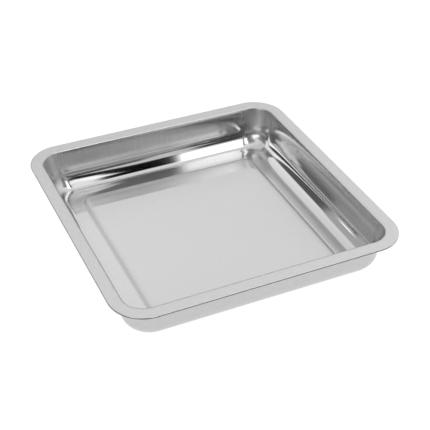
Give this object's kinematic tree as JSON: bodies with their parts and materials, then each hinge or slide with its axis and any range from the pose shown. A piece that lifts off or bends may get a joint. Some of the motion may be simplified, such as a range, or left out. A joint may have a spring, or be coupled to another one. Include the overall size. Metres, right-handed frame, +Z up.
{
  "type": "counting tray",
  "caption": "Shallow square stainless tray with a flat rim, rolled edge, round-cornered drawn pan and raised floor panel, for counting out and carrying small items",
  "frame": {"origin": "centre of the flat ring on the underside that the tray stands on", "axes": "+Z up, out of the open mouth; X and Y run along the sides of the square"},
  "size_m": [0.25, 0.25, 0.0375],
  "materials": {
    "stainless_sheet": "mirror-bright pan with a fine brushed rim and satin outer wall"
  },
  "bodies": {
    "root": {"tray_pressing": "stainless_sheet"}
  },
  "joints": []
}
